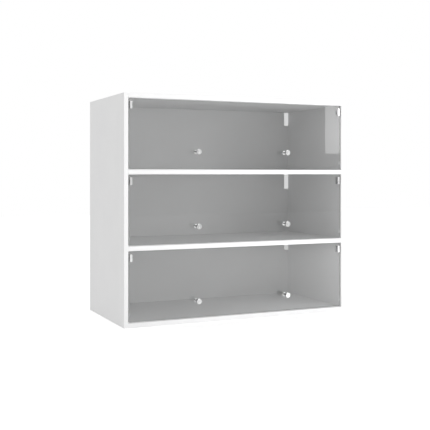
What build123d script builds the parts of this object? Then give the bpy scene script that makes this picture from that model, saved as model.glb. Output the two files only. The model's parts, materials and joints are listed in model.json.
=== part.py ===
from build123d import *
import os

# White board bookcase of three stacked compartments, each closed by a frameless glass door
# that flips up and out on two pivots near its top edge.
# Frame: origin at the centre of the underside, +X to the right, +Y to the back, +Z up.

# Carcass
width = 1000.0
depth = 475.0
height = 904.0
board = 18.0
band = 2.0
band_radius = 1.2
back_thickness = 8.0
rebate = 8.0
rebate_play = 0.5
back_joint = 0.4
cutout_width = 22.0
cutout_height = 80.0

# Doors: the gap above each pane takes up the rise of its top edge as the door swings
door_recess = 6.0
glass_thickness = 5.0
side_gap = 3.0
bottom_gap = 3.5
top_gap = 3.0
glass_corner = 2.0
glass_arris = 0.8
glass_hole_radius = 4.0

# Door hinges
pivot_drop = 27.5
gasket = 0.7
plate_width = 10.0
plate_height = 30.0
plate_thickness = 3.0
plate_inset = 7.0
plate_corner = 1.5
plate_round = 0.8
boss_radius = 3.6
boss_length = 5.3
tapped_in_plate = 1.2
block_width = 12.0
block_thickness = 8.0
block_round = 1.0
counterbore_radius = 3.7
counterbore_depth = 2.4
screw_spread = 9.5
pin_radius = 2.5
pin_play = 0.05
pin_in_block = 8.0
pin_in_bush = 10.0
pin_chamfer = 0.4
bush_radius = 4.95
bush_length = 12.0
bush_flange_radius = 5.6
bush_flange = 0.8
hinge_screw_length = 12.0
hinge_screw_head = 2.2
hinge_screw_head_radius = 3.5
hinge_screw_chamfer = 0.3
hex_socket_radius = 1.5

# Knobs
knob_spacing = 400.0
knob_height = 71.0
knob_length = 39.0
knob_head_radius = 11.0
knob_head_thickness = 9.2
knob_head_edge = 1.0
knob_back_edge = 0.4
knob_dish_radius = 4.6
knob_dish = 0.8
knob_base_radius = 8.0
knob_base_thickness = 2.6
knob_base_edge = 0.6
knob_neck_radius = 4.2
knob_neck_low = 6.6
knob_neck_high = 22.5
knob_bore = 9.0
knob_washer = 0.8
collar_radius = 6.0
knob_screw_in_knob = 8.0
knob_screw_head = 2.4
knob_screw_head_radius = 3.8
knob_screw_round = 1.2
knob_slot_length = 4.2
knob_slot_width = 0.9
socket_depth = 1.3

# Door stops
stop_height = 30.0
stop_width = 8.0
stop_depth = 6.0
stop_tall = 14.0
stop_gap = 0.3
stop_round = 1.0
stop_spigot_radius = 2.5
stop_spigot_length = 8.0

# Board fixings
cam_from_end = 34.0
cam_rows = (-185.0, 180.0)
cam_radius = 7.4
cam_length = 12.3
cam_cap = 1.0
cap_gap = 0.2
cap_chamfer = 0.25
cam_window_radius = 5.0
cam_window_width = 8.0
cam_window_top = 3.8
cam_window_depth = 8.0
cam_slot_length = 7.0
cam_slot_width = 1.5
cam_slot_depth = 1.6
cam_bolt_radius = 3.0
cam_bolt_length = 36.0
cam_bolt_in_side = 11.0
cam_bolt_thread_radius = 2.45
cam_bolt_collar_radius = 3.6
cam_bolt_collar = 1.5
cam_bolt_waist = 10.0
cam_bolt_waist_radius = 2.0
cam_bolt_head = 3.2
cam_bolt_head_radius = 3.3
cam_bolt_edge = 0.8
cam_bolt_bore_radius = 4.0
dowel_rows = (-153.0, 148.0)
dowel_radius = 3.95
dowel_length = 30.0
dowel_in_side = 11.5
dowel_chamfer = 1.0
screw_radius = 1.5
screw_head_radius = 3.0
screw_length = 20.0
screw_tip = 2.5
screw_slot_length = 3.4
screw_slot_width = 0.8
screw_slot_depth = 1.1
screw_columns = (-420.0, -140.0, 140.0, 420.0)
m4_radius = 2.0

# Clearances, and the share of a quarter circle's size that its middle lies inside the corner
close_play = 0.05
play = 0.1
clearance = 0.2
hole_relief = 0.5
arc_middle = 1 - 0.5**0.5

# Places worked out from the sizes above
sides = (-1, 1)
inner_x = width / 2 - board
front = -depth / 2
back = depth / 2
back_face = back - back_thickness
board_front = front + band
board_names = ("bottom_panel", "shelf_lower", "shelf_upper", "top_panel")
levels = ("bottom", "middle", "top")
level_numbers = range(len(levels))
clear_height = (height - len(board_names) * board) / len(levels)
top_level = level_numbers[-1]
board_lows = [index * (clear_height + board) for index in range(len(board_names))]
floors = [low + board for low in board_lows[:-1]]
ceilings = board_lows[1:]
glass_front = front + door_recess
glass_back = glass_front + glass_thickness
block_front = glass_back + gasket
block_back = block_front + block_thickness
pivot_y = (block_front + block_back) / 2
plate_x = inner_x - plate_inset - plate_width / 2
block_x = inner_x - plate_inset - block_width / 2
knob_base_y = glass_front - knob_washer
stop_y = glass_back + stop_gap + stop_depth / 2
screw_side_x = inner_x + rebate / 2
pilot_depth = screw_length - back_thickness + hole_relief

os.makedirs("parts", exist_ok=True)


def save(piece, name):
    """Label a finished piece and write its STEP file."""
    piece.part.label = name
    export_step(piece.part, f"parts/{name}.step")


def inner_face(side):
    """The inner face of a side panel, seen from inside, with Z up and its normal outwards."""
    return Plane(origin=(side * inner_x, 0, 0), x_dir=(0, side, 0), z_dir=(side, 0, 0))


def copies(shape, spots):
    """One piece that holds a copy of a shape at each spot."""
    with BuildPart() as group:
        with Locations(*spots):
            add(shape.part)
    return group


def back_span(level):
    """The lowest and highest edge of one back panel: they meet behind the middle of a shelf."""
    low = 0.0 if level == 0 else board_lows[level] + board / 2 + back_joint / 2
    high = height if level == top_level else board_lows[level + 1] + board / 2 - back_joint / 2
    return low, high


def rail_screws(level):
    """Screws of one back panel into the boards above and below it, as X and Z."""
    low, high = back_span(level)
    low_row = low + (board / 2 if level == 0 else board / 4)
    high_row = high - (board / 2 if level == top_level else board / 4)
    return [(x, z) for z in (low_row, high_row) for x in screw_columns]


def side_screws(level):
    """Screws of one back panel into the rebates of the side panels, as X and Z."""
    middle = sum(back_span(level)) / 2
    return [(side * screw_side_x, middle) for side in sides]


# Shapes that repeat, each along its own Z axis

with BuildPart() as dowel:
    with BuildSketch():
        Circle(dowel_radius)
    extrude(amount=dowel_length)
    chamfer(dowel.edges().filter_by(GeomType.CIRCLE), dowel_chamfer)

waist_low = cam_bolt_waist - cam_bolt_length
with BuildPart() as cam_bolt:
    with BuildSketch(Plane.XZ):
        with BuildLine():
            Polyline(
                (0, cam_bolt_in_side),
                (cam_bolt_waist_radius, cam_bolt_in_side),
                (cam_bolt_thread_radius, cam_bolt_in_side - hole_relief),
                (cam_bolt_thread_radius, 0),
                (cam_bolt_collar_radius, 0),
                (cam_bolt_collar_radius, -cam_bolt_collar),
                (cam_bolt_radius, -cam_bolt_collar),
                (cam_bolt_radius, waist_low),
                (cam_bolt_waist_radius, waist_low - cam_bolt_edge),
                (cam_bolt_waist_radius, cam_bolt_head + cam_bolt_edge - cam_bolt_length),
                (cam_bolt_head_radius, cam_bolt_head - cam_bolt_length),
                (cam_bolt_head_radius, cam_bolt_edge - cam_bolt_length),
                (cam_bolt_head_radius - cam_bolt_edge, -cam_bolt_length),
                (0, -cam_bolt_length),
                close=True,
            )
        make_face()
    revolve(axis=Axis.Z)

with BuildPart() as cam:
    with BuildSketch():
        Circle(cam_radius)
    extrude(amount=-cam_length)
    with BuildSketch(Plane.XY.offset(-cam_window_top)):
        Circle(cam_window_radius)
        with Locations((cam_window_radius, 0)):
            Rectangle(2 * cam_window_radius, cam_window_width)
    extrude(amount=-cam_window_depth, mode=Mode.SUBTRACT)
    with BuildSketch():
        Rectangle(cam_slot_length, cam_slot_width)
        Rectangle(cam_slot_width, cam_slot_length)
    extrude(amount=-cam_slot_depth, mode=Mode.SUBTRACT)

with BuildPart() as cam_cover:
    with BuildSketch():
        Circle(cam_radius)
    extrude(amount=-cam_cap)
    chamfer(cam_cover.edges().group_by(Axis.Z)[-1], cap_chamfer)

with BuildPart() as back_screw:
    with BuildSketch(Plane.XZ):
        with BuildLine():
            Polyline(
                (0, 0),
                (screw_head_radius, 0),
                (screw_radius, screw_radius - screw_head_radius),
                (screw_radius, screw_tip - screw_length),
                (0, -screw_length),
                close=True,
            )
        make_face()
    revolve(axis=Axis.Z)
    with BuildSketch():
        Rectangle(screw_slot_length, screw_slot_width)
        Rectangle(screw_slot_width, screw_slot_length)
    extrude(amount=-screw_slot_depth, mode=Mode.SUBTRACT)

with BuildPart() as hinge_screw:
    with BuildSketch():
        Circle(hinge_screw_head_radius)
    extrude(amount=hinge_screw_head)
    chamfer(hinge_screw.edges().group_by(Axis.Z)[-1], hinge_screw_chamfer)
    with BuildSketch():
        Circle(m4_radius)
    extrude(amount=-hinge_screw_length)
    with BuildSketch(Plane.XY.offset(hinge_screw_head)):
        RegularPolygon(hex_socket_radius, 6)
    extrude(amount=-socket_depth, mode=Mode.SUBTRACT)

with BuildPart() as knob_screw:
    with BuildSketch():
        Circle(knob_screw_head_radius)
    extrude(amount=knob_screw_head)
    fillet(knob_screw.edges().group_by(Axis.Z)[-1], knob_screw_round)
    with BuildSketch():
        Circle(m4_radius)
    extrude(amount=-(2 * knob_washer + glass_thickness + knob_screw_in_knob))
    with BuildSketch(Plane.XY.offset(knob_screw_head)):
        Rectangle(knob_slot_length, knob_slot_width)
        Rectangle(knob_slot_width, knob_slot_length)
    extrude(amount=-socket_depth, mode=Mode.SUBTRACT)

with BuildPart() as knob_collar:
    with BuildSketch():
        Circle(collar_radius)
    extrude(amount=knob_washer)
    with BuildSketch():
        Circle(glass_hole_radius - clearance)
    extrude(amount=clearance - glass_thickness)
    Hole(m4_radius + clearance)

head_back = knob_length - knob_head_thickness
flare_radius = knob_head_radius - knob_back_edge
flare_high = head_back - 2 * knob_back_edge
neck_low = (knob_neck_radius, knob_neck_low)
neck_high = (knob_neck_radius, knob_neck_high)
head_rear = (
    (flare_radius, flare_high),
    (knob_head_radius, head_back),
    (knob_head_radius, knob_length - knob_head_edge),
)
base_bend = (
    knob_neck_radius + arc_middle * (knob_base_radius - knob_neck_radius),
    knob_base_thickness + arc_middle * (knob_neck_low - knob_base_thickness),
)
head_bend = (
    knob_neck_radius + arc_middle * (flare_radius - knob_neck_radius),
    flare_high - arc_middle * (flare_high - knob_neck_high),
)
knob_outline = (
    (knob_head_radius - knob_head_edge, knob_length),
    (knob_dish_radius, knob_length),
    (knob_dish_radius - knob_head_edge, knob_length - knob_dish),
    (0, knob_length - knob_dish),
    (0, 0),
    (knob_base_radius - knob_base_edge, 0),
    (knob_base_radius, knob_base_edge),
    (knob_base_radius, knob_base_thickness),
)

# A turned spool: a flat base, a waisted neck, and a disc head with a shallow dish in its front
with BuildPart() as knob:
    with BuildSketch(Plane.XZ):
        with BuildLine():
            Polyline(*knob_outline)
            ThreePointArc(knob_outline[-1], base_bend, neck_low)
            Line(neck_low, neck_high)
            ThreePointArc(neck_high, head_bend, head_rear[0])
            Polyline(*head_rear, knob_outline[0])
        make_face()
    revolve(axis=Axis.Z)
    with BuildSketch():
        Circle(m4_radius + close_play)
    extrude(amount=knob_bore, mode=Mode.SUBTRACT)


# Carcass boards


def make_side_panel(side, name):
    """A full-height board, rebated at its back inner edge, drilled from its inner face."""
    bush_spots = [(side * pivot_y, ceiling - pivot_drop) for ceiling in ceilings]
    stop_spots = [(side * stop_y, floor + stop_height) for floor in floors]
    board_middles = [low + board / 2 for low in board_lows]
    dowel_spots = [(side * y, z) for z in board_middles for y in dowel_rows]
    bolt_spots = [(side * y, z) for z in board_middles for y in cam_rows]
    holes = (
        (bush_spots, bush_radius + close_play, bush_length),
        (stop_spots, stop_spigot_radius + close_play, stop_spigot_length),
        (dowel_spots, dowel_radius + close_play, dowel_in_side),
        (bolt_spots, cam_bolt_thread_radius + play, cam_bolt_in_side),
    )
    with BuildPart() as panel:
        with BuildSketch():
            with Locations((side * (inner_x + board / 2), band / 2)):
                Rectangle(board, depth - band)
            with Locations((side * (inner_x + rebate / 2), back - back_thickness / 2)):
                Rectangle(rebate, back_thickness, mode=Mode.SUBTRACT)
        extrude(amount=height)
        for spots, radius, fitted_depth in holes:
            with BuildSketch(inner_face(side)):
                with Locations(*spots):
                    Circle(radius)
            extrude(amount=fitted_depth + hole_relief, mode=Mode.SUBTRACT)
        pilots = [side_screws(level)[sides.index(side)] for level in level_numbers]
        with BuildSketch(Plane.XZ.offset(-back_face)):
            with Locations(*pilots):
                Circle(screw_radius + play)
        extrude(amount=pilot_depth, mode=Mode.SUBTRACT)
    save(panel, name)


def make_board(index):
    """A board between the sides, with cam, bolt, dowel and back screw holes."""
    low = board_lows[index]
    is_top = low == board_lows[-1]
    cam_face = Plane.XY.offset(low + board) if is_top else Plane.XY.offset(low)
    cam_depth = cam_length + cam_cap + cap_gap + hole_relief
    cam_x = inner_x - cam_from_end
    middle = low + board / 2
    pilots = [
        (x, z) for level in level_numbers for x, z in rail_screws(level) if low < z < low + board
    ]
    with BuildPart() as shelf:
        with BuildSketch(Plane.XY.offset(low)):
            with Locations((0, (board_front + back_face) / 2)):
                Rectangle(2 * inner_x, back_face - board_front)
        extrude(amount=board)
        with BuildSketch(cam_face):
            with Locations(*[(side * cam_x, y) for side in sides for y in cam_rows]):
                Circle(cam_radius + play)
        extrude(amount=-cam_depth if is_top else cam_depth, mode=Mode.SUBTRACT)
        for side in sides:
            with BuildSketch(inner_face(side)):
                with Locations(*[(side * y, middle) for y in cam_rows]):
                    Circle(cam_bolt_bore_radius)
            extrude(amount=-cam_from_end, mode=Mode.SUBTRACT)
            with BuildSketch(inner_face(side)):
                with Locations(*[(side * y, middle) for y in dowel_rows]):
                    Circle(dowel_radius + close_play)
            extrude(amount=dowel_in_side - dowel_length - hole_relief, mode=Mode.SUBTRACT)
        with BuildSketch(Plane.XZ.offset(-back_face)):
            with Locations(*pilots):
                Circle(screw_radius + play)
        extrude(amount=pilot_depth, mode=Mode.SUBTRACT)
    save(shelf, board_names[index])


def make_edge_band(name, low_x, high_x, low_z, high_z, long_axis):
    """A strip on a board's front edge, with its two long front edges rounded."""
    with BuildPart() as strip:
        with BuildSketch(Plane.XZ.offset(-board_front)):
            with Locations(((low_x + high_x) / 2, (low_z + high_z) / 2)):
                Rectangle(high_x - low_x, high_z - low_z)
        extrude(amount=band)
        fillet(strip.faces().sort_by(Axis.Y)[0].edges().filter_by(long_axis), band_radius)
    save(strip, name)


def make_back_panel(level):
    """A back panel with both upper corners cut away and countersunk screw holes."""
    low, high = back_span(level)
    half_width = inner_x + rebate - rebate_play
    corner = half_width - inner_x + cutout_width
    corner_middles = [(side * (half_width - corner / 2), high - cutout_height / 2) for side in sides]
    rear_view = Plane(origin=(0, back, 0), x_dir=(-1, 0, 0), z_dir=(0, 1, 0))
    with BuildPart() as panel:
        with BuildSketch(Plane.XZ.offset(-back)):
            with Locations((0, (low + high) / 2)):
                Rectangle(2 * half_width, high - low)
            with Locations(*corner_middles):
                Rectangle(corner, cutout_height, mode=Mode.SUBTRACT)
        extrude(amount=back_thickness)
        with Locations(rear_view):
            with Locations(*[(-x, z) for x, z in rail_screws(level) + side_screws(level)]):
                CounterSinkHole(screw_radius + play, screw_head_radius + play, counter_sink_angle=90)
    save(panel, f"back_panel_{levels[level]}")


make_side_panel(-1, "left_side_panel")
make_side_panel(1, "right_side_panel")
for number in range(len(board_names)):
    make_board(number)
for number in level_numbers:
    make_back_panel(number)
make_edge_band("edge_band_left_side", -width / 2, -inner_x, 0, height, Axis.Z)
make_edge_band("edge_band_right_side", inner_x, width / 2, 0, height, Axis.Z)
for board_name, board_low in zip(board_names, board_lows):
    make_edge_band(f"edge_band_{board_name}", -inner_x, inner_x, board_low, board_low + board, Axis.X)


# Fixings that hold the carcass together

joint_middles = [low + board / 2 for low in board_lows]

dowel_spots = [
    Location((side * (inner_x + dowel_in_side - dowel_length), y, z), (0, side * 90, 0))
    for side in sides
    for z in joint_middles
    for y in dowel_rows
]
save(copies(dowel, dowel_spots), "wooden_dowels")

bolt_spots = [
    Location((side * inner_x, y, z), (0, side * 90, 0))
    for side in sides
    for z in joint_middles
    for y in cam_rows
]
save(copies(cam_bolt, bolt_spots), "cam_bolts")


def cam_locations(sunk):
    """Where the cams or their covers sit, a given depth below the face they are let into."""
    spots = []
    for low in board_lows:
        is_top = low == board_lows[-1]
        z = low + board - sunk if is_top else low + sunk
        for y in cam_rows:
            x = inner_x - cam_from_end
            spots.append(Location((x, y, z), (0, 0, 0) if is_top else (180, 0, 0)))
            spots.append(Location((-x, y, z), (0, 0, 180) if is_top else (0, 180, 0)))
    return spots


save(copies(cam, cam_locations(cam_cap + cap_gap)), "cam_housings")
save(copies(cam_cover, cam_locations(0)), "cam_cover_caps")

screw_spots = [
    Location((x, back, z), (-90, 0, 0))
    for level in level_numbers
    for x, z in rail_screws(level) + side_screws(level)
]
save(copies(back_screw, screw_spots), "back_panel_screws")

with BuildPart() as pivot_bushes:
    for side in sides:
        bush_points = [(side * pivot_y, ceiling - pivot_drop) for ceiling in ceilings]
        with BuildSketch(inner_face(side)):
            with Locations(*bush_points):
                Circle(bush_flange_radius)
        extrude(amount=-bush_flange)
        with BuildSketch(inner_face(side)):
            with Locations(*bush_points):
                Circle(bush_radius)
        extrude(amount=bush_length)
        with BuildSketch(inner_face(side).offset(-bush_flange)):
            with Locations(*bush_points):
                Circle(pin_radius + pin_play)
        extrude(amount=bush_flange + pin_in_bush + hole_relief, mode=Mode.SUBTRACT)
save(pivot_bushes, "pivot_bushes")

with BuildPart() as door_stops:
    for side in sides:
        with BuildSketch(Plane.XZ.offset(-(stop_y + stop_depth / 2))):
            with Locations(*[(side * (inner_x - stop_width / 2), floor + stop_height) for floor in floors]):
                Rectangle(stop_width, stop_tall)
        extrude(amount=stop_depth)
    fillet(door_stops.edges().filter_by(Axis.X), stop_round)
    for side in sides:
        with BuildSketch(inner_face(side)):
            with Locations(*[(side * stop_y, floor + stop_height) for floor in floors]):
                Circle(stop_spigot_radius)
        extrude(amount=stop_spigot_length)
save(door_stops, "door_stops")


# Doors


def knob_points(level):
    """The centres of a door's two knobs, as X and Z."""
    return [(side * knob_spacing / 2, floors[level] + knob_height) for side in sides]


def hinge_points(level, side):
    """The centres of the two screws of one hinge, as X and Z."""
    pivot_z = ceilings[level] - pivot_drop
    return [(side * plate_x, pivot_z + step * screw_spread) for step in (-1, 1)]


def make_glass(level):
    """A toughened pane, drilled for the hinges and knobs, with its long edges eased."""
    low = floors[level] + bottom_gap
    high = ceilings[level] - top_gap
    holes = knob_points(level) + hinge_points(level, -1) + hinge_points(level, 1)
    with BuildPart() as pane:
        with BuildSketch(Plane.XZ.offset(-glass_back)):
            with Locations((0, (low + high) / 2)):
                RectangleRounded(2 * (inner_x - side_gap), high - low, glass_corner)
        extrude(amount=glass_thickness)
        chamfer(pane.faces().filter_by(Axis.Y).edges(), glass_arris)
        with BuildSketch(Plane.XZ.offset(-glass_back)):
            with Locations(*holes):
                Circle(glass_hole_radius)
        extrude(amount=glass_thickness, mode=Mode.SUBTRACT)
    save(pane, f"glass_{levels[level]}")


def make_hinge_plate(level, side, name):
    """The bright front bar, with two tapped bosses that reach back through the glass."""
    pivot_z = ceilings[level] - pivot_drop
    plate_back = glass_front - gasket
    with BuildPart() as plate:
        with BuildSketch(Plane.XZ.offset(-plate_back)):
            with Locations((side * plate_x, pivot_z)):
                RectangleRounded(plate_width, plate_height, plate_corner)
        extrude(amount=plate_thickness)
        fillet(plate.faces().sort_by(Axis.Y)[0].edges(), plate_round)
        with BuildSketch(Plane.XZ.offset(-plate_back)):
            with Locations(*hinge_points(level, side)):
                Circle(boss_radius)
        extrude(amount=-boss_length)
        with BuildSketch(Plane.XZ.offset(-(plate_back + boss_length))):
            with Locations(*hinge_points(level, side)):
                Circle(m4_radius + close_play)
        extrude(amount=boss_length + tapped_in_plate, mode=Mode.SUBTRACT)
    save(plate, name)


def make_hinge_block(level, side, name):
    """The block behind the glass that carries the pivot pin."""
    pivot_z = ceilings[level] - pivot_drop
    pin_face = Plane(
        origin=(side * (inner_x - plate_inset), 0, 0), x_dir=(0, side, 0), z_dir=(side, 0, 0)
    )
    rear_view = Plane(origin=(0, block_back, 0), x_dir=(-1, 0, 0), z_dir=(0, 1, 0))
    with BuildPart() as block:
        with BuildSketch(Plane.XZ.offset(-block_back)):
            with Locations((side * block_x, pivot_z)):
                RectangleRounded(block_width, plate_height, plate_corner)
        extrude(amount=block_thickness)
        fillet(block.faces().sort_by(Axis.Y)[-1].edges(), block_round)
        with Locations(rear_view):
            with Locations(*[(-x, z) for x, z in hinge_points(level, side)]):
                CounterBoreHole(m4_radius + clearance, counterbore_radius, counterbore_depth)
        with BuildSketch(pin_face):
            with Locations((side * pivot_y, pivot_z)):
                Circle(pin_radius + pin_play)
        extrude(amount=-pin_in_block, mode=Mode.SUBTRACT)
    save(block, name)


def make_hinge_gaskets(level):
    """Soft liners between the glass and the plate in front and the block behind, both sides."""
    pivot_z = ceilings[level] - pivot_drop
    layers = ((glass_front, plate_x, plate_width), (block_front, block_x, block_width))
    with BuildPart() as liners:
        for layer_back, centre_x, layer_width in layers:
            with BuildSketch(Plane.XZ.offset(-layer_back)):
                with Locations(*[(side * centre_x, pivot_z) for side in sides]):
                    RectangleRounded(layer_width, plate_height, plate_corner)
                with Locations(*hinge_points(level, -1), *hinge_points(level, 1)):
                    Circle(boss_radius + clearance, mode=Mode.SUBTRACT)
            extrude(amount=gasket)
    save(liners, f"hinge_gaskets_{levels[level]}")


def make_pivot_pins(level):
    """Two steel pins, each from its hinge block into the bush in the side panel."""
    pivot_z = ceilings[level] - pivot_drop
    with BuildPart() as pins:
        for side in sides:
            with BuildSketch(inner_face(side).offset(pin_in_bush)):
                with Locations((side * pivot_y, pivot_z)):
                    Circle(pin_radius)
            extrude(amount=play - pin_in_bush - plate_inset - pin_in_block)
        chamfer(pins.edges().filter_by(GeomType.CIRCLE), pin_chamfer)
    save(pins, f"pivot_pins_{levels[level]}")


def make_hinge_screws(level):
    """Four screws, from behind each block into the bosses of its front plate."""
    under_head = block_back + close_play - counterbore_depth
    points = hinge_points(level, -1) + hinge_points(level, 1)
    spots = [Location((x, under_head, z), (-90, 0, 0)) for x, z in points]
    save(copies(hinge_screw, spots), f"hinge_screws_{levels[level]}")


def make_knob_set(level):
    """Two knobs with the washers, collars and screws that clamp them through the glass."""
    points = knob_points(level)
    for (x, z), name in zip(points, ("left", "right")):
        save(copies(knob, [Location((x, knob_base_y, z), (90, 0, 0))]), f"knob_{name}_{levels[level]}")
    under_head = glass_back + knob_washer
    screws = [Location((x, under_head, z), (-90, 0, 0)) for x, z in points]
    save(copies(knob_screw, screws), f"knob_screws_{levels[level]}")
    with BuildPart() as washers:
        with BuildSketch(Plane.XZ.offset(-glass_front)):
            with Locations(*points):
                Circle(knob_base_radius - knob_base_edge)
                Circle(m4_radius + clearance, mode=Mode.SUBTRACT)
        extrude(amount=knob_washer)
        with Locations(*[Location((x, glass_back, z), (-90, 0, 0)) for x, z in points]):
            add(knob_collar.part)
    save(washers, f"knob_washers_{levels[level]}")


for number in level_numbers:
    make_glass(number)
    for side, side_name in zip(sides, ("left", "right")):
        make_hinge_plate(number, side, f"hinge_plate_{side_name}_{levels[number]}")
        make_hinge_block(number, side, f"hinge_block_{side_name}_{levels[number]}")
    make_hinge_gaskets(number)
    make_pivot_pins(number)
    make_hinge_screws(number)
    make_knob_set(number)
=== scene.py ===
import bpy
import json
import math
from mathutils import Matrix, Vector


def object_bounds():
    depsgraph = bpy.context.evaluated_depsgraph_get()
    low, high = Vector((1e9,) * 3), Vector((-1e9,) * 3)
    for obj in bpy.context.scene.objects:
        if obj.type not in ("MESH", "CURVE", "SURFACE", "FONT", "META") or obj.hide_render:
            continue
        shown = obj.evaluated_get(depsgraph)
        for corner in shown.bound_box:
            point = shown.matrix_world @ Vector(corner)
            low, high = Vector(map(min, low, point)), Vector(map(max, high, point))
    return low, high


# White board bookcase with three flip-up grey glass doors, on a pale floor in soft studio light.
# Metres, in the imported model's frame: +X to the right, +Y to the back, +Z up.

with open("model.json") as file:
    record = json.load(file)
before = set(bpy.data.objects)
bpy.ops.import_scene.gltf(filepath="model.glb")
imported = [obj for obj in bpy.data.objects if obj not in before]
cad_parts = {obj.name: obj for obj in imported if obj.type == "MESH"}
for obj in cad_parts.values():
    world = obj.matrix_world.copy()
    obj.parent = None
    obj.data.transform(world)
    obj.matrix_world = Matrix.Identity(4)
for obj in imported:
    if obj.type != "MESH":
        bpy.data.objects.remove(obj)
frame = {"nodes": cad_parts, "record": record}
cad_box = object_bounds()
nodes = frame["nodes"]
slot_of = {s["node"]: s["material_slot"] for s in frame["record"]["subparts"]}

# Camera: level, so that uprights stay upright, with its view lowered by a small shift
camera_place = (-1.469, -3.218, 0.594)
camera_turn = -24.39
camera_lens = 68.19
camera_shift = -0.0969
camera_sensor = 36.0
camera_far = 200.0

# Surroundings: how bright they are to look at, as light, and in mirrors
sky_seen = 1.0
sky_light = 0.79
sky_mirrored = 0.3

# Floor: its own size and tones, and the extra light that it gives off.
# It is mirrored brightest in a pool in front, to the right of a slanting line, and sends
# bounced light only from the front. Nothing extra comes from beside or behind the cabinet.
floor_size = 16.0
floor_drop = 0.0005
floor_light = (0.93, 0.93, 0.93)
floor_dark = (0.92, 0.92, 0.92)
floor_gloss = 0.2
floor_lift = 0.4
floor_near = 0.42
floor_far = 0.14
floor_far_to_near = (-3.6, -3.2)
floor_bounce = 0.72
floor_bounce_starts = (-0.6, -0.3)
floor_before = (-0.35, -0.2)
pool_mirrored = 0.78
pool_slant = (1.0, 0.52, 0.0)
pool_across = (-0.45, 0.12)
pool_along = (-3.6, -2.0)

# Glass: the tint when looked through, the dark tint of its rim (the edge's own darkness and also
# painted shade for the shadowed gap around the pane), and what it lets through of lamp light and
# bounced light
glass_tint = (0.66, 0.665, 0.665)
glass_batch = 0.985
# the rim's dark tint is partly the glass edge's own colour and partly painted shade for the gap
# around the pane
dark_rim_and_painted_gap_shade = (0.08, 0.09, 0.09)
glass_passes = (0.885, 0.885, 0.885)
glass_ior = 1.5

# Materials
white = (1.0, 1.0, 1.0)
board_gloss = 0.25
board_edge = 0.0016
moulded_glow = 0.002
along_x = (0.02, 1.0, 1.0)
along_z = (1.0, 1.0, 0.02)
brushed = (1.0, 1.0, 0.06)
even = (1.0, 1.0, 1.0)


# ---------------------------------------------------------------- node helpers

def new_material(name):
    """A node material and its Principled shader."""
    material = bpy.data.materials.new(name)
    material.use_nodes = True
    return material, material.node_tree.nodes["Principled BSDF"]


def add(tree, kind, **settings):
    """A new node with its own properties set."""
    node = tree.nodes.new(kind)
    for name, value in settings.items():
        setattr(node, name, value)
    return node


def place(tree, stretch=even):
    """Object coordinates in metres, stretched along the axes."""
    source = add(tree, "ShaderNodeTexCoord")
    mapping = add(tree, "ShaderNodeMapping")
    mapping.inputs["Scale"].default_value = stretch
    tree.links.new(source.outputs["Object"], mapping.inputs["Vector"])
    return mapping.outputs["Vector"]


def noise(tree, vector, size, detail=3.0, rough=0.55):
    """Soft noise from 0 to 1 with features of about the given size in metres."""
    node = add(tree, "ShaderNodeTexNoise")
    node.inputs["Scale"].default_value = 1.0 / size
    node.inputs["Detail"].default_value = detail
    node.inputs["Roughness"].default_value = rough
    tree.links.new(vector, node.inputs["Vector"])
    return node.outputs["Fac"]


def spread(tree, value, low, high, start=0.3, end=0.7):
    """The value's stretch from start to end, carried over to low to high."""
    node = add(tree, "ShaderNodeMapRange")
    node.inputs["From Min"].default_value = start
    node.inputs["From Max"].default_value = end
    node.inputs["To Min"].default_value = low
    node.inputs["To Max"].default_value = high
    tree.links.new(value, node.inputs["Value"])
    return node.outputs["Result"]


def maths(tree, operation, a, b=None):
    """One Math node on two sockets or numbers."""
    node = add(tree, "ShaderNodeMath", operation=operation)
    for socket, value in zip(node.inputs, (a, b)):
        if isinstance(value, (int, float)):
            socket.default_value = value
        elif value is not None:
            tree.links.new(value, socket)
    return node.outputs[0]


def blend_colours(tree, factor, first, second):
    """A colour between two, which may be sockets or plain colours."""
    node = add(tree, "ShaderNodeMix", data_type="RGBA")
    for name, value in (("Factor", factor), ("A", first), ("B", second)):
        wanted = "VALUE" if name == "Factor" else "RGBA"
        socket = next(s for s in node.inputs if s.name == name and s.type == wanted)
        if isinstance(value, tuple):
            socket.default_value = (*value, 1.0)
        else:
            tree.links.new(value, socket)
    return next(s for s in node.outputs if s.type == "RGBA")


def clouded(tree, cloud, tone, shade):
    """A colour that drifts from tone to shade with the noise."""
    return blend_colours(tree, spread(tree, cloud, 0.0, 1.0), tone, shade)


def choose(tree, switch, otherwise, chosen):
    """A shader that is the chosen one where the switch is on."""
    mix = add(tree, "ShaderNodeMixShader")
    for socket, source in zip(mix.inputs, (switch, otherwise, chosen)):
        tree.links.new(source, socket)
    return mix.outputs[0]


def bump(tree, shader, height, depth, strength=0.5):
    """Relief of the given depth in metres on the shader's normal."""
    node = add(tree, "ShaderNodeBump")
    node.inputs["Strength"].default_value = strength
    node.inputs["Distance"].default_value = depth
    tree.links.new(height, node.inputs["Height"])
    tree.links.new(node.outputs["Normal"], shader.inputs["Normal"])


def edge_mask(tree, radius):
    """1 along the sharp edges of a piece, falling to 0 a radius away from them."""
    rounded = add(tree, "ShaderNodeBevel", samples=4)
    rounded.inputs["Radius"].default_value = radius
    flat = add(tree, "ShaderNodeNewGeometry")
    likeness = add(tree, "ShaderNodeVectorMath", operation="DOT_PRODUCT")
    tree.links.new(rounded.outputs["Normal"], likeness.inputs[0])
    tree.links.new(flat.outputs["Normal"], likeness.inputs[1])
    return spread(tree, likeness.outputs["Value"], low=1.0, high=0.0, start=0.75, end=1.0)


# ---------------------------------------------------------------- materials

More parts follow.
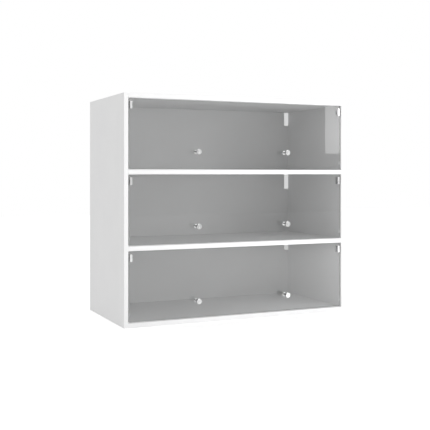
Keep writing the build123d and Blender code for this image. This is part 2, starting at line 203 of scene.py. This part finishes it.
def coated_board(name, tone, shade, rough, pore, pore_depth, wear):
    """Melamine coated board: fine pearl relief, faint clouding and handled edges."""
    material, shader = new_material(name)
    tree = material.node_tree
    here = place(tree)
    cloud = noise(tree, here, size=0.16, detail=4.0)
    grain = noise(tree, here, size=pore, detail=2.0, rough=0.6)
    speck = spread(tree, grain, low=0.0, high=0.35, start=0.55, end=0.8)
    base = blend_colours(tree, speck, clouded(tree, cloud, tone, shade), shade)
    rub = maths(tree, "MULTIPLY", edge_mask(tree, board_edge), spread(tree, cloud, low=0.2, high=1.0))
    worn = tuple(c * wear for c in shade)
    tree.links.new(blend_colours(tree, rub, base, worn), shader.inputs["Base Color"])
    patches = noise(tree, here, size=0.03, detail=5.0)
    matt = spread(tree, patches, low=rough - 0.05, high=rough + 0.06)
    tree.links.new(matt, shader.inputs["Roughness"])
    shader.inputs["Specular IOR Level"].default_value = board_gloss
    bump(tree, shader, grain, pore_depth, strength=0.6)
    return material


def plastic(name, tone, shade, rough, relief, translucence=0.0):
    """Moulded plastic: fine spark-eroded grain and slight flow marks."""
    material, shader = new_material(name)
    tree = material.node_tree
    here = place(tree)
    flow = noise(tree, here, size=0.02)
    grain = noise(tree, here, size=0.0006, detail=2.0)
    tree.links.new(clouded(tree, flow, tone, shade), shader.inputs["Base Color"])
    polish = spread(tree, grain, low=rough - 0.06, high=rough + 0.08)
    tree.links.new(polish, shader.inputs["Roughness"])
    shader.inputs["Subsurface Weight"].default_value = translucence
    shader.inputs["Subsurface Scale"].default_value = moulded_glow
    bump(tree, shader, grain, relief)
    return material


def edge_banding(name, tone, shade, relief):
    """Satin plastic edging with faint scrape lines along each strip."""
    material, shader = new_material(name)
    tree = material.node_tree
    across = noise(tree, place(tree, along_x), size=0.0012, detail=2.0)
    upright = noise(tree, place(tree, along_z), size=0.0012, detail=2.0)
    lines = maths(tree, "MULTIPLY", across, upright)
    cloud = noise(tree, place(tree), size=0.12, detail=4.0)
    tree.links.new(clouded(tree, cloud, tone, shade), shader.inputs["Base Color"])
    polish = spread(tree, lines, low=0.30, high=0.44, start=0.12, end=0.4)
    tree.links.new(polish, shader.inputs["Roughness"])
    bump(tree, shader, lines, relief)
    return material


def metal(name, tone, shade, rough, relief, line, stretch=even):
    """Bare or plated metal: grain lines along the stretched axis, clouded polish."""
    material, shader = new_material(name)
    tree = material.node_tree
    lines = noise(tree, place(tree, stretch), size=line, rough=0.6)
    cloud = noise(tree, place(tree), size=0.008)
    tree.links.new(clouded(tree, lines, tone, shade), shader.inputs["Base Color"])
    shader.inputs["Metallic"].default_value = 1.0
    patches = spread(tree, cloud, low=rough - 0.03, high=rough + 0.03)
    polish = maths(tree, "ADD", spread(tree, lines, low=0.0, high=0.06), patches)
    tree.links.new(polish, shader.inputs["Roughness"])
    bump(tree, shader, lines, relief)
    return material


def rubber(name, tone, shade, relief):
    """Soft grey liner, dull and finely grained."""
    material, shader = new_material(name)
    tree = material.node_tree
    grain = noise(tree, place(tree), size=0.0004, detail=2.0)
    tree.links.new(clouded(tree, grain, tone, shade), shader.inputs["Base Color"])
    tree.links.new(spread(tree, grain, low=0.6, high=0.75), shader.inputs["Roughness"])
    bump(tree, shader, grain, relief, strength=0.6)
    return material


def beech(name, tone, shade, dark, relief):
    """Turned beech: long fibres with short dark flecks."""
    material, shader = new_material(name)
    tree = material.node_tree
    fibre = noise(tree, place(tree, (0.05, 1.0, 1.0)), size=0.0012, detail=4.0)
    fleck = noise(tree, place(tree, (0.3, 1.0, 1.0)), size=0.0008, detail=2.0)
    marks = spread(tree, fleck, low=0.0, high=0.6, start=0.62, end=0.75)
    wood = blend_colours(tree, marks, clouded(tree, fibre, tone, shade), dark)
    tree.links.new(wood, shader.inputs["Base Color"])
    tree.links.new(spread(tree, fibre, low=0.5, high=0.65), shader.inputs["Roughness"])
    bump(tree, shader, fibre, relief)
    return material


def glass_rim_mask(tree):
    """1 on the pane's rim and arrises, 0 on its two large faces."""
    source = add(tree, "ShaderNodeTexCoord")
    facing = add(tree, "ShaderNodeSeparateXYZ")
    tree.links.new(source.outputs["Normal"], facing.inputs[0])
    flatness = maths(tree, "ABSOLUTE", facing.outputs["Y"])
    return spread(tree, flatness, low=1.0, high=0.0, start=0.75, end=0.95)


def tinted_glass(name):
    """Grey toughened glass. Lamps and bounced light pass straight through, dimmed by the tint."""
    material, shader = new_material(name)
    tree = material.node_tree
    here = place(tree)
    drift = noise(tree, here, size=0.2, detail=2.0)
    tint = clouded(tree, drift, glass_tint, tuple(c * glass_batch for c in glass_tint))
    # the rim and arrises are tinted dark: the edge's own look plus painted shade for the shadowed gap
    # around the pane
    tint = blend_colours(tree, glass_rim_mask(tree), tint, dark_rim_and_painted_gap_shade)
    tree.links.new(tint, shader.inputs["Base Color"])
    wiped = noise(tree, place(tree, (1.0, 1.0, 0.5)), size=0.05, detail=5.0)
    smear = spread(tree, wiped, low=0.0, high=0.012, start=0.5, end=0.75)
    tree.links.new(smear, shader.inputs["Roughness"])
    shader.inputs["IOR"].default_value = glass_ior
    shader.inputs["Transmission Weight"].default_value = 1.0
    bump(tree, shader, noise(tree, here, size=0.12, detail=2.0), depth=0.00005, strength=0.3)
    clear = add(tree, "ShaderNodeBsdfTransparent")
    clear.inputs["Color"].default_value = (*glass_passes, 1.0)
    path = add(tree, "ShaderNodeLightPath")
    pane = choose(tree, path.outputs["Is Diffuse Ray"], shader.outputs[0], clear.outputs[0])
    pane = choose(tree, path.outputs["Is Shadow Ray"], pane, clear.outputs[0])
    tree.links.new(pane, tree.nodes["Material Output"].inputs["Surface"])
    return material


finishes = {
    "white_board": coated_board(
        "white_board", tone=(0.93, 0.93, 0.93), shade=(0.905, 0.905, 0.907),
        rough=0.64, pore=0.0011, pore_depth=0.00008, wear=0.93,
    ),
    "back_board": coated_board(
        "back_board", tone=(0.90, 0.90, 0.90), shade=(0.875, 0.875, 0.877),
        rough=0.52, pore=0.0016, pore_depth=0.0001, wear=0.9,
    ),
    "edge_band": edge_banding(
        "edge_band", tone=(0.94, 0.94, 0.94), shade=(0.915, 0.915, 0.917), relief=0.00004,
    ),
    "white_plastic": plastic(
        "white_plastic", tone=(0.90, 0.90, 0.90), shade=(0.87, 0.87, 0.87),
        rough=0.38, relief=0.00003,
    ),
    "clear_plastic": plastic(
        "clear_plastic", tone=(0.82, 0.83, 0.83), shade=(0.76, 0.77, 0.77),
        rough=0.22, relief=0.00001, translucence=0.4,
    ),
    "soft_liner": rubber(
        "soft_liner", tone=(0.50, 0.50, 0.51), shade=(0.42, 0.42, 0.43), relief=0.00003,
    ),
    "grey_glass": tinted_glass("grey_glass"),
    "satin_steel": metal(
        "satin_steel", tone=(0.655, 0.655, 0.655), shade=(0.585, 0.585, 0.585),
        rough=0.14, relief=0.00002, line=0.0005, stretch=brushed,
    ),
    "zinc_steel": metal(
        "zinc_steel", tone=(0.74, 0.75, 0.77), shade=(0.66, 0.67, 0.69),
        rough=0.32, relief=0.00002, line=0.0006,
    ),
    "cast_zinc": metal(
        "cast_zinc", tone=(0.56, 0.57, 0.58), shade=(0.46, 0.47, 0.48),
        rough=0.48, relief=0.00006, line=0.0008,
    ),
    "beech": beech(
        "beech", tone=(0.72, 0.53, 0.34), shade=(0.60, 0.42, 0.25), dark=(0.42, 0.27, 0.15),
        relief=0.0001,
    ),
}

# The hinges' front plates are a shade brighter than the knobs of the same steel: a lit copy, painted
# light standing in for the brighter light on the plates
painted_bright_plate_steel = metal(
    "painted_bright_plate_steel", tone=(0.76, 0.76, 0.76), shade=(0.69, 0.69, 0.69),
    rough=0.12, relief=0.00002, line=0.0005, stretch=brushed,
)

for name, node in nodes.items():
    # hinge plates take the steel copy painted brighter, as painted light
    finish = painted_bright_plate_steel if name.startswith("hinge_plate") else finishes[slot_of[name]]
    node.data.materials.clear()
    node.data.materials.append(finish)


# ---------------------------------------------------------------- floor, light and camera

def floor_glow(tree):
    """The floor's extra light, which depends on the kind of ray that meets it."""
    path = add(tree, "ShaderNodeLightPath")
    here = place(tree)
    along = add(tree, "ShaderNodeSeparateXYZ")
    tree.links.new(here, along.inputs[0])
    slant = add(tree, "ShaderNodeVectorMath", operation="DOT_PRODUCT")
    tree.links.new(here, slant.inputs[0])
    slant.inputs[1].default_value = pool_slant
    x = along.outputs["X"]
    y = along.outputs["Y"]
    pool = maths(
        tree, "MULTIPLY",
        spread(tree, slant.outputs["Value"], 0.0, pool_mirrored, *pool_across),
        spread(tree, y, 0.0, 1.0, *pool_along),
    )
    before = spread(tree, y, 1.0, 0.0, *floor_before)
    base = spread(tree, y, floor_far, floor_near, *floor_far_to_near)
    mirrored = maths(tree, "MULTIPLY", before, maths(tree, "ADD", pool, base))
    bounce = spread(tree, x, 0.0, floor_bounce, *floor_bounce_starts)
    bounce = maths(tree, "MULTIPLY", before, bounce)
    glow = maths(tree, "MULTIPLY", path.outputs["Is Camera Ray"], floor_lift)
    for ray, level in (("Is Glossy Ray", mirrored), ("Is Diffuse Ray", bounce)):
        glow = maths(tree, "ADD", glow, maths(tree, "MULTIPLY", path.outputs[ray], level))
    return glow


def pale_floor(name):
    """Nearly white, dull floor with faint clouding."""
    material, shader = new_material(name)
    tree = material.node_tree
    cloud = noise(tree, place(tree), size=0.8)
    tree.links.new(clouded(tree, cloud, floor_light, floor_dark), shader.inputs["Base Color"])
    tree.links.new(spread(tree, cloud, low=0.75, high=0.85), shader.inputs["Roughness"])
    shader.inputs["Specular IOR Level"].default_value = floor_gloss
    shader.inputs["Emission Color"].default_value = (*white, 1.0)
    tree.links.new(floor_glow(tree), shader.inputs["Emission Strength"])
    return material


def make_floor():
    """A wide floor under the cabinet."""
    half = floor_size / 2
    mesh = bpy.data.meshes.new("floor")
    corners = [(-half, -half, 0.0), (half, -half, 0.0), (half, half, 0.0), (-half, half, 0.0)]
    mesh.from_pydata(corners, [], [(0, 1, 2, 3)])
    mesh.materials.append(pale_floor("pale_floor"))
    floor = bpy.data.objects.new("floor", mesh)
    bpy.context.scene.collection.objects.link(floor)
    floor.location.z = cad_box[0].z - floor_drop


def make_sky():
    """Even white surroundings, seen brighter than they light."""
    world = bpy.data.worlds.new("studio")
    bpy.context.scene.world = world
    world.use_nodes = True
    tree = world.node_tree
    glow = tree.nodes["Background"]
    path = add(tree, "ShaderNodeLightPath")
    seen = maths(tree, "MAXIMUM", path.outputs["Is Camera Ray"], path.outputs["Is Transmission Ray"])
    unseen = spread(tree, path.outputs["Is Glossy Ray"], sky_light, sky_mirrored, start=0.0, end=1.0)
    level = maths(tree, "MAXIMUM", unseen, maths(tree, "MULTIPLY", seen, sky_seen))
    glow.inputs["Color"].default_value = (*white, 1.0)
    tree.links.new(level, glow.inputs["Strength"])


def softbox(name, place_at, aim, size, radiance, mirrored=True, lights=True):
    """A rectangular lamp with an even face of the given brightness."""
    lamp = bpy.data.lights.new(name, "AREA")
    lamp.shape = "RECTANGLE"
    lamp.size, lamp.size_y = size
    lamp.energy = radiance * size[0] * size[1] * math.pi
    holder = bpy.data.objects.new(name, lamp)
    bpy.context.scene.collection.objects.link(holder)
    holder.location = place_at
    holder.rotation_euler = Vector(aim).to_track_quat("-Z", "Y").to_euler()
    holder.visible_camera = False
    holder.visible_transmission = False
    holder.visible_glossy = mirrored
    holder.visible_diffuse = lights


def make_lamps():
    """A key from the front right, a card that shows in the top pane, and veils on the panes."""
    to_back = (0.0, 1.0, 0.0)
    to_front = (0.0, -1.0, 0.0)
    down = (0.0, 0.0, -1.0)
    softbox("right_card", (2.94, -3.0, 1.76), to_back, size=(1.6, 2.0), radiance=3.9)
    softbox(
        "front_key", (6.3, -13.6, 0.7), (-0.42, 0.91, 0.0), size=(10.8, 2.0), radiance=2.55,
        mirrored=False,
    )
    softbox("front_veil", (3.8, -8.0, 1.8), to_back, size=(5.5, 2.4), radiance=0.78, lights=False)
    softbox("low_veil", (3.8, -8.0, 0.3), to_back, size=(5.5, 0.6), radiance=0.45, lights=False)
    softbox("back_veil", (-3.5, 8.0, 1.5), to_front, size=(5.5, 3.0), radiance=0.35, lights=False)
    softbox("top_light", (0.3, -1.0, 2.2), down, size=(2.0, 1.2), radiance=3.5, lights=False)


def make_camera():
    """The level camera, in front of the cabinet's left end."""
    lens = bpy.data.cameras.new("camera")
    lens.sensor_width = camera_sensor
    lens.lens = camera_lens
    lens.shift_y = camera_shift
    lens.clip_end = camera_far
    camera = bpy.data.objects.new("camera", lens)
    bpy.context.scene.collection.objects.link(camera)
    camera.location = camera_place
    camera.rotation_euler = (math.radians(90.0), 0.0, math.radians(camera_turn))
    bpy.context.scene.camera = camera


make_camera()
make_sky()
make_floor()
make_lamps()
bpy.context.scene.view_settings.view_transform = "Standard"
